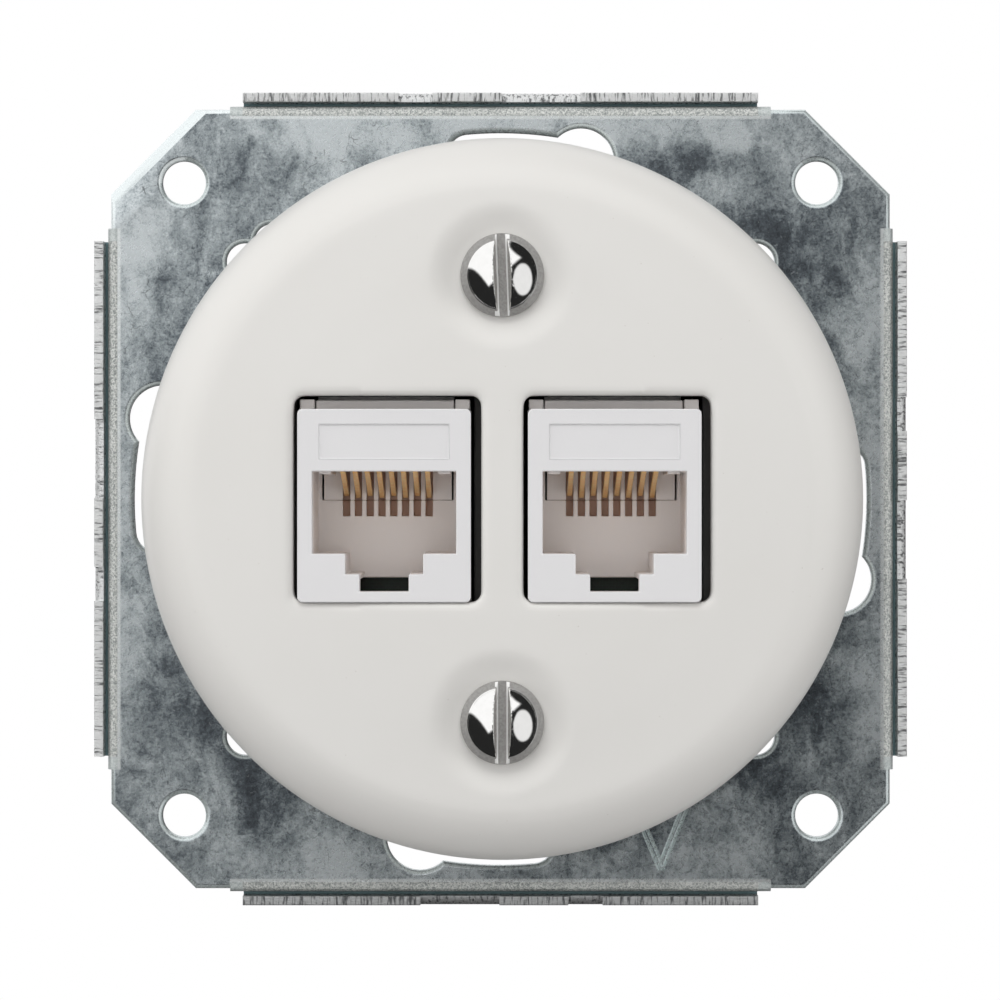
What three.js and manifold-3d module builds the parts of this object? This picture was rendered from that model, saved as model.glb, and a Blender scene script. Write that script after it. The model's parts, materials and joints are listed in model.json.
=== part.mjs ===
// Two-port data outlet for a round flush box: a glazed porcelain cover on a hemmed steel frame.
// Millimetres. X is to the right and Z is up as seen from the room; the front faces -Y.
// The origin is the centre of the frame, on the wall plane that the hems rest on.
import * as THREE from "three";
import { mergeVertices } from "three/addons/utils/BufferGeometryUtils.js";
import Module from "manifold-3d";

// ---- driving dimensions ----------------------------------------------------------------

const sheet = 0.8; // steel sheet thickness
const standOff = 3.2; // front of the frame plate above the wall
const plateFront = -standOff;
const plateRear = plateFront + sheet;

const frame = {
  half: 33.55, // half the width of the plate
  chamfer: 7.3, // leg of the clipped corners
  opening: 24, // radius of the middle cut-out
  cornerHole: { at: 27.25, radius: 1.85 },
  hemHalf: 22.2, // half the length of each hem
  bendHalf: 23.3, // half the length of its bend
  hemOuter: 35, // outer face of the hem
  hemGap: 0.35,
  hemGapDeep: 0.5, // the fold is pressed shut below this
  hemBend: 0.87, // outer radius where the plate turns into the hem
  coined: [[-8.8, -5.85], [0.1, 6.9]], // stretches whose edge is pressed down, clockwise
};
const boxScrew = { circle: 29.93, slotHalf: 1.62, from: -5.4, to: 13.4, keyhole: 2.85 };
const sideHole = { x: 22.0, z: 20.45, radius: 1.6 };
const twinHole = { x: -19.7, z: 22.2, radius: 1.5 };
const arrow = { tip: [13.8, -31.7], left: [12.4, -28.4], right: [15.9, -26.5], wide: 0.7, deep: 0.25 };

const cover = {
  radius: 30.62, // widest
  shiftX: 0.15, // sits this far right of the frame's middle
  height: 12.5, // front face above the plate
  wall: 3.1,
  footGap: 0.12, // below the rim
  footBevel: 0.5,
  faceRadius: 25.2, // where the shoulder meets the face
  sideHigh: 5.2, // where the shoulder meets the side
  crown: 0.75, // the face is this much higher in its middle
  windowWide: 15.67,
  windowHigh: 17.25,
  windowAt: 9.59,
  windowCorner: 0.6,
  relief: { wide: 10, high: 2.4 }, // room for the box-screw heads under the rim
  screwHole: 2.1,
};
const coverFace = plateFront - cover.height;

const screw = {
  at: 18.63, // above and below the centre
  headRadius: 3.5,
  domeRadius: 2.9,
  shankRadius: 1.7,
  shankLength: 16,
  slotWide: 0.73,
  slotDeep: 0.3, // floor of the slot below the ring's front
  seatDepth: 0.6, // seat below the cover's face
  dishRadius: 5.3,
  tip: 0.5, // chamfer at the end of the shank
  flange: 0.6, // thickness of the ring round the dome
  domeHigh: 1.15,
  tilt: [-2, 0], // degrees the slots stand off the vertical, top and bottom
};

const jack = {
  pitch: 19.2,
  shiftX: -0.09,
  shiftZ: -0.56,
  wide: 14.44,
  high: 16.11,
  bezel: 1.5, // depth of the face frame
  depth: 16, // of the housing, from its face
};
const port = { wide: 12, high: 6.87, below: 5.2, depth: 12.4 };
const steps = [{ wide: 6.5, high: 1.7 }, { wide: 4.1, high: 1.45 }]; // for the plug's latch
const hollow = { half: 2.9, front: 2.6, roof: 0.48, below: 0.25 }; // beside and under the lowest step
const label = { wide: 10.8, high: 2.9, below: 1.3, deep: 0.08 };
const ear = { front: 2.9, rise: 0.85, inner: 5.9, outer: 7.13 }; // beside the latch
const contacts = { count: 8, pitch: 1.016, wire: 0.42, slot: 0.62 };

const carrier = {
  front: plateFront - 7.9, // top of the screw posts and of the block
  halfWide: 19.3,
  flangeRadius: 27,
  flangeFront: plateRear + 0.1,
  flangeThick: 2,
  postRadius: 4,
  ribHalf: 2.2, // of the web that joins the posts to the block
  lip: 2.2,
  rear: 4,
  stop: 1.4, // thickness of the frame the jacks stand against
};
const bush = { inner: 1.85, outer: 2.5, long: 6 }; // threaded insert in each post
const washer = { inner: 1.8, outer: 3.4, thick: 0.8 }; // holds a screw in the cover

// ---- solids ----------------------------------------------------------------------------

const wasm = await Module();
wasm.setup();

/** The closed solid that a geometry encloses, without its collapsed triangles. */
function solid(geometry) {
  const bare = geometry.clone();
  bare.deleteAttribute("normal");
  bare.deleteAttribute("uv");
  const merged = mergeVertices(bare, 1e-4);
  const kept = [];
  for (let i = 0; i < merged.index.count; i += 3) {
    const [a, b, c] = [0, 1, 2].map((k) => merged.index.getX(i + k));
    if (a !== b && b !== c && c !== a) kept.push(a, b, c);
  }
  const vertProperties = new Float32Array(merged.attributes.position.array);
  const mesh = new wasm.Mesh({ numProp: 3, vertProperties, triVerts: new Uint32Array(kept) });
  return new wasm.Manifold(mesh);
}

/** A drawable geometry of a solid. */
function geometryOf(made) {
  const mesh = made.getMesh();
  const geometry = new THREE.BufferGeometry();
  geometry.setAttribute("position", new THREE.BufferAttribute(mesh.vertProperties, 3));
  geometry.setIndex(new THREE.BufferAttribute(mesh.triVerts, 1));
  const faceted = geometry.toNonIndexed();
  faceted.computeVertexNormals();
  return faceted;
}

const join = (first, ...others) => others.reduce((sum, s) => sum.add(s), first);
const cut = (first, ...others) => others.reduce((sum, s) => sum.subtract(s), first);

/** A box between two corners, given as x, y and z ranges. */
function block([x0, x1], [y0, y1], [z0, z1]) {
  const geometry = new THREE.BoxGeometry(x1 - x0, y1 - y0, z1 - z0);
  geometry.translate((x0 + x1) / 2, (y0 + y1) / 2, (z0 + z1) / 2);
  return solid(geometry);
}

/** An outline drawn in x and z, run back from y0 to y1. */
function plateOf(shape, [y0, y1], curveSegments = 12) {
  const geometry = new THREE.ExtrudeGeometry(shape, { depth: y1 - y0, bevelEnabled: false, curveSegments });
  geometry.rotateX(Math.PI / 2);
  geometry.translate(0, y1, 0);
  return solid(geometry);
}

/** An outline drawn in y and z, run from x0 to x1. */
function barOf(shape, [x0, x1], curveSegments = 8) {
  const geometry = new THREE.ExtrudeGeometry(shape, { depth: x1 - x0, bevelEnabled: false, curveSegments });
  const turn = new THREE.Matrix4().makeBasis(
    new THREE.Vector3(0, 1, 0),
    new THREE.Vector3(0, 0, 1),
    new THREE.Vector3(1, 0, 0),
  );
  geometry.applyMatrix4(turn);
  geometry.translate(x0, 0, 0);
  return solid(geometry);
}

/** A turned piece about an axis along Y, from [radius, y] points listed from rear to front. */
function turned(points, x = 0, z = 0, segments = 24) {
  const profile = points.map(([r, y]) => new THREE.Vector2(r, -y));
  const geometry = new THREE.LatheGeometry(profile, segments);
  geometry.rotateX(Math.PI);
  geometry.translate(x, 0, z);
  return solid(geometry);
}

/** A cylinder along Y. */
function rod(radius, [y0, y1], x = 0, z = 0, segments = 24) {
  return turned([[0, y1], [radius, y1], [radius, y0], [0, y0]], x, z, segments);
}

/** A washer or bush about an axis along Y. */
function ring(inner, outer, [y0, y1], x = 0, z = 0, segments = 20) {
  return turned([[inner, y1], [outer, y1], [outer, y0], [inner, y0], [inner, y1]], x, z, segments);
}

/** A rectangle with rounded or clipped corners, as a shape. */
function rectangle(wide, high, x = 0, z = 0, corner = 0) {
  const shape = new THREE.Shape();
  const [l, r, b, t] = [x - wide / 2, x + wide / 2, z - high / 2, z + high / 2];
  shape.moveTo(l + corner, b);
  shape.lineTo(r - corner, b);
  if (corner) shape.absarc(r - corner, b + corner, corner, -Math.PI / 2, 0);
  shape.lineTo(r, t - corner);
  if (corner) shape.absarc(r - corner, t - corner, corner, 0, Math.PI / 2);
  shape.lineTo(l + corner, t);
  if (corner) shape.absarc(l + corner, t - corner, corner, Math.PI / 2, Math.PI);
  shape.lineTo(l, b + corner);
  if (corner) shape.absarc(l + corner, b + corner, corner, Math.PI, 1.5 * Math.PI);
  return shape;
}

/** A closed outline through the given points. */
const outline = (points) => new THREE.Shape(points.map(([a, b]) => new THREE.Vector2(a, b)));

const quarterTurns = [0, 90, 180, 270];

// ---- finishes --------------------------------------------------------------------------

const finish = (color, roughness, metalness) => ({ color, roughness, metalness });
const zinc = finish(0x8a9498, 0.42, 0.9);
const porcelain = finish(0xe9e5e1, 0.18, 0);
const nickel = finish(0xc9cac9, 0.12, 1);
const blackPlastic = finish(0x1d1d1c, 0.5, 0);
const whitePlastic = finish(0xe4e4e7, 0.42, 0);
const gold = finish(0xc08a45, 0.3, 1);
const brass = finish(0xb9974f, 0.35, 1);
const boardGreen = finish(0x1f5a3a, 0.5, 0);
const nylon = finish(0xd9d6cc, 0.6, 0);

const outlet = new THREE.Group();
outlet.name = "data_outlet";

/** Adds one named piece to a group. */
function piece(name, made, surface, group = outlet) {
  const mesh = new THREE.Mesh(geometryOf(made), new THREE.MeshStandardMaterial(surface));
  mesh.name = name;
  group.add(mesh);
  return mesh;
}

// ---- mounting frame --------------------------------------------------------------------

/** The hem's section: the plate turns back, folds on itself and returns to the front. */
function hemSection() {
  const legOuter = frame.hemOuter - sheet - frame.hemGap;
  const foldRadius = sheet + frame.hemGap / 2;
  const foldAt = frame.hemOuter - foldRadius;
  const foldY = -foldRadius;
  const edge = plateFront + 0.05;
  const gapFloor = plateFront + frame.hemBend + frame.hemGapDeep;
  const inside = frame.half - 3;
  const shape = new THREE.Shape();
  shape.moveTo(inside, plateFront);
  shape.lineTo(legOuter - frame.hemBend, plateFront);
  shape.absarc(legOuter - frame.hemBend, plateFront + frame.hemBend, frame.hemBend, -Math.PI / 2, 0);
  shape.lineTo(legOuter, gapFloor);
  shape.absarc(foldAt, gapFloor, frame.hemGap / 2, Math.PI, 0, true);
  shape.lineTo(frame.hemOuter - sheet, edge);
  shape.lineTo(frame.hemOuter, edge);
  shape.lineTo(frame.hemOuter, foldY);
  shape.absarc(foldAt, foldY, foldRadius, 0, Math.PI);
  shape.lineTo(legOuter - sheet, plateRear + 0.1);
  shape.lineTo(legOuter - sheet - 0.1, plateRear);
  shape.lineTo(inside, plateRear);
  return shape;
}

/** The section of the bend alone, which runs a little past the ends of the hem. */
function bendSection() {
  const legOuter = frame.hemOuter - sheet - frame.hemGap;
  const inside = frame.half - 3;
  const shape = new THREE.Shape();
  shape.moveTo(inside, plateFront);
  shape.lineTo(legOuter - frame.hemBend, plateFront);
  shape.absarc(legOuter - frame.hemBend, plateFront + frame.hemBend, frame.hemBend, -Math.PI / 2, 0);
  shape.lineTo(legOuter, plateRear + sheet);
  shape.lineTo(legOuter - sheet, plateRear + sheet);
  shape.lineTo(legOuter - sheet, plateRear + 0.1);
  shape.lineTo(legOuter - sheet - 0.1, plateRear);
  shape.lineTo(inside, plateRear);
  return shape;
}

/** A section drawn in x and y, run along the right-hand side of the plate. */
function sideBar(shape, half) {
  const depth = 2 * half;
  const geometry = new THREE.ExtrudeGeometry(shape, { depth, bevelEnabled: false, curveSegments: 6 });
  geometry.translate(0, 0, -half);
  return solid(geometry);
}

/** One hem, on the right-hand side of the plate, with its pressed-down stretches. */
function hem() {
  let made = join(sideBar(hemSection(), frame.hemHalf), sideBar(bendSection(), frame.bendHalf));
  const slope = [
    [frame.hemOuter - sheet - 0.1, plateFront - 1],
    [frame.hemOuter + 1, plateFront - 1],
    [frame.hemOuter + 1, plateFront + 1.6],
    [frame.hemOuter - 0.35, plateFront + 0.55],
    [frame.hemOuter - sheet - 0.1, plateFront + 0.45],
  ];
  for (const [from, to] of frame.coined) {
    // Clockwise along the right-hand side runs downwards.
    const wedge = new THREE.ExtrudeGeometry(outline(slope), { depth: to - from, bevelEnabled: false });
    wedge.translate(0, 0, -to);
    made = made.subtract(solid(wedge));
  }
  return made;
}

/** Cutters for one box-screw slot, about the top of the frame. */
function keyholeSlot() {
  const reach = [plateFront - 1, plateRear + 1];
  const radians = (degrees) => THREE.MathUtils.degToRad(90 - degrees);
  const place = (degrees) => [
    boxScrew.circle * Math.cos(radians(degrees)),
    boxScrew.circle * Math.sin(radians(degrees)),
  ];
  const [start, end] = [radians(boxScrew.from), radians(boxScrew.to)];
  const arc = new THREE.Shape();
  arc.absarc(0, 0, boxScrew.circle + boxScrew.slotHalf, start, end, true);
  arc.absarc(0, 0, boxScrew.circle - boxScrew.slotHalf, end, start, false);
  const [endX, endZ] = place(boxScrew.from);
  const [keyX, keyZ] = place(boxScrew.to);
  return join(
    plateOf(arc, reach, 10),
    rod(boxScrew.slotHalf, reach, endX, endZ, 20),
    rod(boxScrew.keyhole, reach, keyX, keyZ, 28),
  );
}

/** A straight groove in the plate's front face. */
function groove([x0, z0], [x1, z1]) {
  const length = Math.hypot(x1 - x0, z1 - z0);
  const geometry = new THREE.BoxGeometry(length + arrow.wide, 2 * arrow.deep, arrow.wide);
  geometry.rotateY(-Math.atan2(z1 - z0, x1 - x0));
  geometry.translate((x0 + x1) / 2, plateFront, (z0 + z1) / 2);
  return solid(geometry);
}

const carrierRivet = { radius: 1, circle: 25.9, angle: 30, headRadius: 1.6, headHigh: 0.7 };
const rivetPlaces = [1, -1].flatMap((sx) =>
  [1, -1].map((sz) => {
    const angle = THREE.MathUtils.degToRad(carrierRivet.angle);
    return [sx * carrierRivet.circle * Math.cos(angle), sz * carrierRivet.circle * Math.sin(angle)];
  }),
);

function mountingFrame() {
  const [h, c] = [frame.half, frame.chamfer];
  const plate = plateOf(
    outline([
      [h - c, -h], [h, c - h], [h, h - c], [h - c, h],
      [c - h, h], [-h, h - c], [-h, c - h], [c - h, -h],
    ]),
    [plateFront, plateRear],
  );
  const reach = [plateFront - 1, plateRear + 1];
  const holes = [rod(frame.opening, reach, 0, 0, 48)];
  for (const sx of [1, -1]) {
    for (const sz of [1, -1]) {
      holes.push(rod(frame.cornerHole.radius, reach, sx * frame.cornerHole.at, sz * frame.cornerHole.at));
      holes.push(rod(sideHole.radius, reach, sx * sideHole.x, sz * sideHole.z, 20));
    }
  }
  holes.push(rod(twinHole.radius, reach, twinHole.x, twinHole.z, 20));
  for (const degrees of quarterTurns) holes.push(keyholeSlot().rotate([0, degrees, 0]));
  for (const [x, z] of rivetPlaces) holes.push(rod(carrierRivet.radius + 0.1, reach, x, z, 12));
  holes.push(groove(arrow.left, arrow.tip), groove(arrow.right, arrow.tip));
  const hems = quarterTurns.map((degrees) => hem().rotate([0, degrees, 0]));
  return cut(join(plate, ...hems), ...holes);
}

piece("mounting_frame", mountingFrame(), zinc);

// ---- porcelain cover -------------------------------------------------------------------

/** Points of the round shoulder between the side and the face, as [radius, height]. */
function shoulder(steps = 6) {
  const { faceRadius, sideHigh } = cover;
  const edge = cover.height - cover.crown;
  const points = [];
  for (let i = 0; i <= steps; i += 1) {
    const angle = (i / steps) * (Math.PI / 2);
    points.push([
      faceRadius + (cover.radius - faceRadius) * Math.cos(angle),
      sideHigh + (edge - sideHigh) * Math.sin(angle),
    ]);
  }
  return points;
}

/** The shallow dish that a cover screw's head sits in. */
function screwDish(z) {
  const depth = screw.seatDepth;
  const radius = (screw.dishRadius ** 2 + depth ** 2) / (2 * depth);
  const floor = coverFace + depth;
  const points = [[0, floor], [screw.headRadius, floor]];
  for (const share of [0.5, 0.75, 0.9, 1]) {
    const r = screw.headRadius + share * (screw.dishRadius + 1 - screw.headRadius);
    points.push([r, floor - radius + Math.sqrt(radius ** 2 - (r - screw.headRadius) ** 2) - depth * share]);
  }
  points.push([screw.dishRadius + 1, coverFace - 2], [0, coverFace - 2]);
  return turned(points, 0, z);
}

function porcelainCover() {
  const inner = cover.radius - cover.wall;
  const at = (height) => plateFront - height;
  const shell = turned(
    [
      [inner, at(cover.footGap)],
      [cover.radius - cover.footBevel, at(cover.footGap)],
      [cover.radius - 0.12, at(0.6)],
      ...shoulder().map(([r, h]) => [r, at(h)]),
      [16, at(cover.height - 0.12)],
      [0, at(cover.height)],
      [0, at(cover.height - cover.wall)],
      [22, at(cover.height - cover.wall - 0.3)],
      [26.2, at(cover.height - cover.wall - 2)],
      [inner, at(cover.height - cover.wall - 4.5)],
      [inner, at(cover.footGap)],
    ],
    0,
    0,
    60,
  );
  const through = [coverFace - 2, plateFront + 2];
  const cuts = [];
  for (const side of [-1, 1]) {
    const { windowWide, windowHigh, windowAt, windowCorner } = cover;
    const window = rectangle(windowWide, windowHigh, side * windowAt, 0, windowCorner);
    cuts.push(plateOf(window, through, 4));
    cuts.push(rod(cover.screwHole, through, 0, side * screw.at, 24), screwDish(side * screw.at));
  }
  const half = cover.relief.wide / 2;
  const under = [at(cover.relief.high), plateFront + 1];
  const across = cover.radius + 1;
  cuts.push(block([-half, half], under, [-across, -inner + 0.4]));
  cuts.push(block([-half, half], under, [inner - 0.4, across]));
  cuts.push(block([-across, -inner + 0.4], under, [-half, half]));
  cuts.push(block([inner - 0.4, across], under, [-half, half]));
  return cut(shell, ...cuts).translate([cover.shiftX, 0, 0]);
}

piece("porcelain_cover", porcelainCover(), porcelain);

// ---- cover screws, their retainers and inserts -------------------------------------------

const screwSeat = coverFace + screw.seatDepth;

/** A slotted raised-head screw, upright at the origin's height. */
function coverScrew() {
  const under = screwSeat - 0.03;
  const tip = under + screw.shankLength;
  const rim = under - screw.flange;
  const dome = [1, 0.93, 0.8, 0.6, 0.32, 0].map((share) => [
    screw.domeRadius * share,
    rim - 0.25 - screw.domeHigh * Math.sqrt(1 - share ** 2),
  ]);
  const body = turned(
    [
      [0, tip],
      [screw.shankRadius - screw.tip, tip],
      [screw.shankRadius, tip - screw.tip],
      [screw.shankRadius, under],
      [screw.headRadius - 0.15, under],
      [screw.headRadius, under - 0.2],
      [screw.headRadius - 0.12, under - 0.45],
      [screw.domeRadius + 0.1, rim],
      ...dome,
    ],
    0,
    0,
    28,
  );
  const half = screw.slotWide / 2;
  const high = screw.headRadius;
  return cut(body, block([-half, half], [rim - 3, rim + screw.slotDeep], [-high - 1, high + 1]));
}

["top", "bottom"].forEach((end, index) => {
  const z = index === 0 ? screw.at : -screw.at;
  const turnedScrew = piece("cover_screw_" + end, coverScrew(), nickel);
  turnedScrew.position.set(cover.shiftX, 0, z);
  turnedScrew.rotation.y = THREE.MathUtils.degToRad(screw.tilt[index]);
  const back = coverFace + cover.wall + 0.45;
  const retainer = ring(washer.inner, washer.outer, [back, back + washer.thick], cover.shiftX, z);
  piece("screw_retainer_" + end, retainer, nylon);
  const near = carrier.front + 0.1;
  const insertDepth = [near, near + bush.long];
  piece("threaded_insert_" + end, ring(bush.inner, bush.outer, insertDepth, cover.shiftX, z), brass);
});

// ---- carrier ---------------------------------------------------------------------------

const jackCentres = [-1, 1].map((side) => side * (jack.pitch / 2) + jack.shiftX);
const jackTop = jack.shiftZ + jack.high / 2;
const jackBottom = jack.shiftZ - jack.high / 2;

const idcHalf = 7; // half width of a terminal block

function jackCarrier() {
  const rearOfFlange = carrier.flangeFront + carrier.flangeThick;
  const bottom = jackBottom - 1.6;
  const top = jackTop + 3.2;
  const body = join(
    block([-carrier.halfWide, carrier.halfWide], [carrier.front, carrier.rear], [bottom, top]),
    rod(carrier.flangeRadius, [carrier.flangeFront, rearOfFlange], 0, 0, 48),
    ...[1, -1].map((side) => {
      return rod(carrier.postRadius, [carrier.front, rearOfFlange], cover.shiftX, side * screw.at);
    }),
    block([-carrier.ribHalf, carrier.ribHalf], [carrier.front + 1.5, rearOfFlange], [-screw.at, screw.at]),
  );
  const stop = carrier.rear - carrier.stop;
  const floor = jackBottom - 0.2;
  const cuts = [];
  for (const x of jackCentres) {
    const half = jack.wide / 2 + 0.25;
    // The bay is taller behind a front lip, where the latch's catch stands.
    cuts.push(block([x - half, x + half], [carrier.front - 1, stop], [floor, jackTop + 1.15]));
    cuts.push(block([x - half, x + half], [carrier.front + carrier.lip, stop], [floor, jackTop + 2.1]));
    // The terminal block passes through the stop frame.
    const narrow = idcHalf + 0.06;
    const [low, high] = [jackBottom + 0.42, jackTop + 0.38];
    cuts.push(block([x - narrow, x + narrow], [stop - 1, carrier.rear + 1], [low, high]));
  }
  for (const side of [1, -1]) {
    const z = side * screw.at;
    cuts.push(rod(bush.outer + 0.1, [carrier.front - 1, carrier.front + bush.long + 0.2], cover.shiftX, z));
    cuts.push(rod(cover.screwHole, [carrier.front, rearOfFlange + 1], cover.shiftX, z, 24));
  }
  for (const [x, z] of rivetPlaces) {
    cuts.push(rod(carrierRivet.radius + 0.1, [carrier.flangeFront - 1, rearOfFlange + 1], x, z, 12));
  }
  return cut(body, ...cuts);
}

piece("jack_carrier", jackCarrier(), blackPlastic);

rivetPlaces.forEach(([x, z], index) => {
  const { radius, headRadius, headHigh } = carrierRivet;
  const [front, back] = [plateFront - 0.03, carrier.flangeFront + carrier.flangeThick + 0.03];
  const made = turned(
    [
      [0, back + headHigh],
      [headRadius * 0.8, back + headHigh * 0.8],
      [headRadius * 0.9, back],
      [radius, back],
      [radius, front],
      [headRadius, front],
      [headRadius * 0.8, front - headHigh * 0.7],
      [0, front - headHigh],
    ],
    x,
    z,
    16,
  );
  piece("carrier_rivet_" + (index + 1), made, zinc);
});

// ---- jacks, each modelled about the centre of its face ------------------------------------

const jz = { top: jack.high / 2, bottom: -jack.high / 2 };
const portTop = jz.top - port.below;
const portBottom = portTop - port.high;
// contact carrier, from the port's top edge
const insert = { wide: 11, below: 2.4, above: 2.4, cheekFront: 2.6 };
const insertGap = 0.16;
const combBelow = 3.77; // slots reach this far under the port's top edge
const latch = { wide: 11.6, tip: 3.4, root: 14.4, under: -0.2, over: 0.8, catchFrom: 7.1, catchTo: 8.6 };
const pocketFloor = jz.top - 1.5;
const contactX = (index) => (index - (contacts.count - 1) / 2) * contacts.pitch;

/** The stepped port seen from the front, cut a little past its own top. */
function portOutline(top = portTop) {
  const [low1, low2] = [portBottom - steps[0].high, portBottom - steps[0].high - steps[1].high];
  const [a, b, c] = [port.wide / 2, steps[0].wide / 2, steps[1].wide / 2];
  return outline([
    [-c, low2], [c, low2], [c, low1], [b, low1], [b, portBottom], [a, portBottom], [a, top],
    [-a, top], [-a, portBottom], [-b, portBottom], [-b, low1], [-c, low1],
  ]);
}

function jackHousing() {
  const face = plateOf(rectangle(jack.wide, jack.high, 0, 0, 0.45), [0, jack.bezel], 3);
  const half = ear.outer;
  const body = block([-half, half], [jack.bezel - 0.1, jack.depth], [jz.bottom + 0.15, jz.top - 0.15]);
  const ears = [-1, 1].map((side) => {
    const [near, far] = [side * ear.inner, side * half];
    const across = [Math.min(near, far), Math.max(near, far)];
    return block(across, [ear.front, jack.depth], [pocketFloor - 0.2, jz.top + ear.rise]);
  });
  const cuts = [
    plateOf(portOutline(), [-1, port.depth], 2),
    // the latch's pocket between the two ears, open at the top
    block([-ear.inner, ear.inner], [jack.bezel + 0.001, jack.depth + 1], [pocketFloor, jz.top + 3]),
    // the bay of the contact carrier, open at the rear and into the port
    block(
      [-insert.wide / 2 - insertGap, insert.wide / 2 + insertGap],
      [jack.bezel + 0.4, jack.depth + 1],
      [portTop - insert.below, portTop + insert.above + insertGap],
    ),
    block([-label.wide / 2, label.wide / 2], [-1, label.deep], [
      jz.top - label.below - label.high,
      jz.top - label.below,
    ]),
  ];
  for (let i = 0; i < contacts.count; i += 1) {
    const x = contactX(i);
    const w = contacts.slot / 2;
    const deep = [port.depth - 0.5, port.depth + 1.6];
    cuts.push(block([x - w, x + w], deep, [portTop - combBelow, portTop - 1.5]));
  }
  // a hollow behind the bezel takes the plug's latch and runs through to the rear
  cuts.push(block([-hollow.half, hollow.half], [hollow.front, jack.depth + 1], [
    portBottom - steps[0].high - steps[1].high - hollow.below,
    portBottom - steps[0].high - hollow.roof,
  ]));
  return cut(join(face, body, ...ears), ...cuts);
}

/** The insert over the port: a roof above the wires and a comb that guides their free ends. */
function contactCarrier() {
  const half = insert.wide / 2;
  const rear = jack.depth;
  const low = portTop - insert.below + 0.02;
  const roof = block([-half, half], [jack.bezel + 0.6, rear], [portTop + 1.4, portTop + insert.above]);
  const comb = block([-half, half], [port.depth + 0.1, rear], [low, portTop + 2]);
  const cheeks = [-1, 1].map((side) => {
    const [near, far] = [side * (half - 1), side * half];
    const across = [Math.min(near, far), Math.max(near, far)];
    return block(across, [insert.cheekFront, rear], [portTop - 0.2, portTop + 2]);
  });
  const slots = [];
  for (let i = 0; i < contacts.count; i += 1) {
    const x = contactX(i);
    const w = contacts.slot / 2;
    slots.push(block([x - w, x + w], [port.depth - 1, port.depth + 1.7], [portTop - 5, portTop + 1.2]));
  }
  return cut(join(roof, comb, ...cheeks), ...slots);
}

/** One spring wire: a loop at the front that runs down and back into the comb. */
const wireBend = { depth: 3.6, z: portTop + 0.55, radius: 0.45 };
function contactWire(index) {
  const tip = { depth: port.depth + 0.6, z: portTop - 1.85 - (index % 2) * 0.16 };
  const half = contacts.wire / 2;
  const slope = Math.atan2(tip.z - (wireBend.z - wireBend.radius), tip.depth - wireBend.depth);
  const normal = [-Math.sin(slope) * half, Math.cos(slope) * half];
  const low = [wireBend.depth, wireBend.z - wireBend.radius];
  const shape = new THREE.Shape();
  shape.moveTo(wireBend.depth + 1.6, wireBend.z + wireBend.radius + half - 0.1);
  shape.lineTo(wireBend.depth, wireBend.z + wireBend.radius + half - 0.1);
  const outerRadius = wireBend.radius + half - 0.1;
  shape.absarc(wireBend.depth, wireBend.z, outerRadius, Math.PI / 2, 1.5 * Math.PI - 0.25);
  shape.lineTo(low[0] - normal[0], low[1] - normal[1]);
  shape.lineTo(tip.depth - normal[0], tip.z - normal[1]);
  shape.lineTo(tip.depth + normal[0], tip.z + normal[1]);
  shape.lineTo(low[0] + normal[0] + 0.05, low[1] + normal[1]);
  shape.lineTo(wireBend.depth - 0.1, wireBend.z);
  shape.lineTo(wireBend.depth + 0.05, wireBend.z + wireBend.radius - half);
  shape.lineTo(wireBend.depth + 1.6, wireBend.z + wireBend.radius - half);
  const x = contactX(index);
  return barOf(shape, [x - half, x + half], 5);
}

/** The latch arm over the housing, rooted at the rear and free at the front. */
function jackLatch() {
  const z = jz.top;
  const shape = outline([
    [latch.tip, z + latch.under],
    [latch.root - 1, z + latch.under],
    [latch.root - 1, pocketFloor + 0.3],
    [latch.root + 0.9, pocketFloor + 0.3],
    [latch.root + 0.9, z + latch.over],
    [latch.catchTo + 0.6, z + latch.over],
    [latch.catchTo, z + 1.75],
    [latch.catchFrom + 0.25, z + 1.75],
    [latch.catchFrom, z + 1.5],
    [latch.catchFrom, z + latch.over],
    [latch.tip, z + latch.over],
  ]);
  return barOf(shape, [-latch.wide / 2, latch.wide / 2]);
}

const board = { front: jack.depth + 0.3, thick: 1.2, half: 6.9, low: jz.bottom + 0.5, high: jz.top + 0.5 };
const idc = { front: board.front + board.thick + 0.3, base: 3, half: idcHalf, rear: 27.2, pitch: 3.3 };
const idcRow = { low: -4.6, high: 4.6, half: 2.2 }; // the two rows of towers
const idcWay = { wide: 1.1, pocketWide: 2.3, pocketHigh: 0.7 }; // for a wire, and for its blade
const idcX = (index) => ((index % 4) - 1.5) * idc.pitch;

/** Terminal block: a base with two rows of slotted towers, four wires to a row. */
function idcBlock() {
  const floor = idc.front + idc.base;
  const past = idc.rear + 1;
  const base = block([-idc.half, idc.half], [idc.front, floor], [jz.bottom + 0.5, jz.top + 0.3]);
  const rows = [idcRow.low, idcRow.high].map((z) =>
    block([-idc.half + 0.1, idc.half - 0.1], [floor - 0.1, idc.rear], [z - idcRow.half, z + idcRow.half]),
  );
  const [way, pocket, thin] = [idcWay.wide / 2, idcWay.pocketWide / 2, idcWay.pocketHigh / 2];
  const slots = [];
  for (let i = 0; i < 4; i += 1) {
    for (const z of [idcRow.low, idcRow.high]) {
      const x = idcX(i);
      // a wide way for the wire, and a narrow pocket across it for the blade
      slots.push(block([x - way, x + way], [floor + 1.6, past], [z - 3, z + 3]));
      slots.push(block([x - pocket, x + pocket], [floor + 0.4, past], [z - thin, z + thin]));
    }
  }
  return cut(join(base, ...rows), ...slots);
}

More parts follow.
